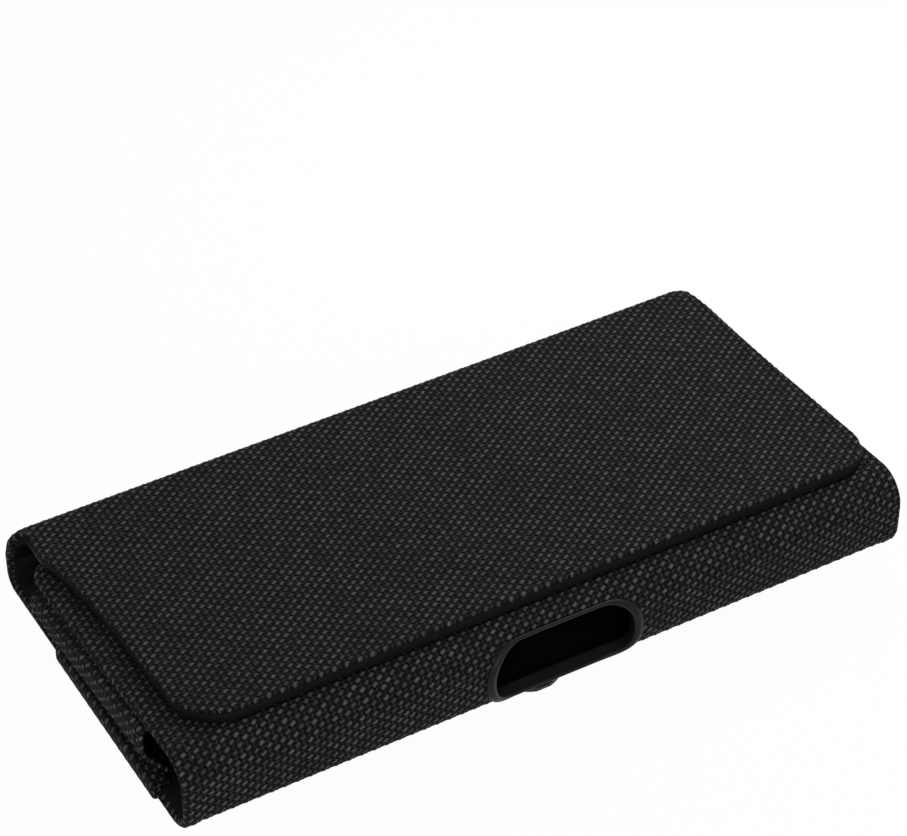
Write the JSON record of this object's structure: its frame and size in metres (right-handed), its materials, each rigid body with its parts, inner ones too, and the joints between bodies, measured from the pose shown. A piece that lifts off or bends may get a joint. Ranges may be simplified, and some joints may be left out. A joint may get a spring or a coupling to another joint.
{
  "type": "phone belt holster",
  "caption": "Horizontal pouch for a handset, worn on a belt: stiff woven pocket with a folding magnetic flap, end tabs, a thumb slot, belt loops and a spring clip on the back.",
  "frame": {"origin": "on the surface that the belt loops rest on, under the middle of the whole part", "axes": "+X along the long side, to the right end; +Y from the bottom wall, which has the slot, to the spine; +Z out through the flap"},
  "size_m": [0.1732, 0.0868, 0.0292],
  "materials": {
    "woven_nylon": "coarse ballistic nylon weave, black",
    "belt_webbing": "folded woven nylon strap with sewn edges, black",
    "smooth_facing": "smooth calendered polyurethane leathercloth, black",
    "pocket_lining": "smooth matt polyurethane film on cloth, black",
    "moulded_rim": "satin moulded edge, black",
    "stiffener_board": "grey polypropylene sheet",
    "spring_steel": "black oxide spring steel",
    "rivet_steel": "dark nickel plate",
    "magnet_nickel": "nickel plate"
  },
  "bodies": {
    "pocket": {"pocket_cover": "woven_nylon", "pocket_stiffener": "stiffener_board", "pocket_lining": "pocket_lining", "slot_rim": "moulded_rim", "side_tab_left": "woven_nylon", "side_tab_right": "woven_nylon", "edge_binding_left": "woven_nylon", "edge_binding_right": "woven_nylon", "belt_loop_left": "belt_webbing", "belt_loop_right": "belt_webbing", "belt_clip": "spring_steel", "clip_rivet_lower": "rivet_steel", "clip_rivet_upper": "rivet_steel", "clip_backing_plate": "rivet_steel", "catch_plate_left": "magnet_nickel", "catch_plate_right": "magnet_nickel"},
    "spine": {"spine_cover": "woven_nylon", "spine_stiffener": "stiffener_board", "spine_lining": "pocket_lining"},
    "flap": {"flap_cover": "woven_nylon", "flap_stiffener": "stiffener_board", "flap_facing": "smooth_facing", "flap_magnet_left": "magnet_nickel", "flap_magnet_right": "magnet_nickel"}
  },
  "joints": [
    {"name": "spine_fold", "type": "hinge", "parent": "pocket", "child": "spine", "pos_m": [0, 0.04223, 0.00767], "axis": [-1, 0, 0], "range_deg": [0, 90]},
    {"name": "flap_fold", "type": "hinge", "parent": "spine", "child": "flap", "pos_m": [0, 0.04222, 0.02101], "axis": [-1, 0, 0], "range_deg": [0, 85]}
  ]
}
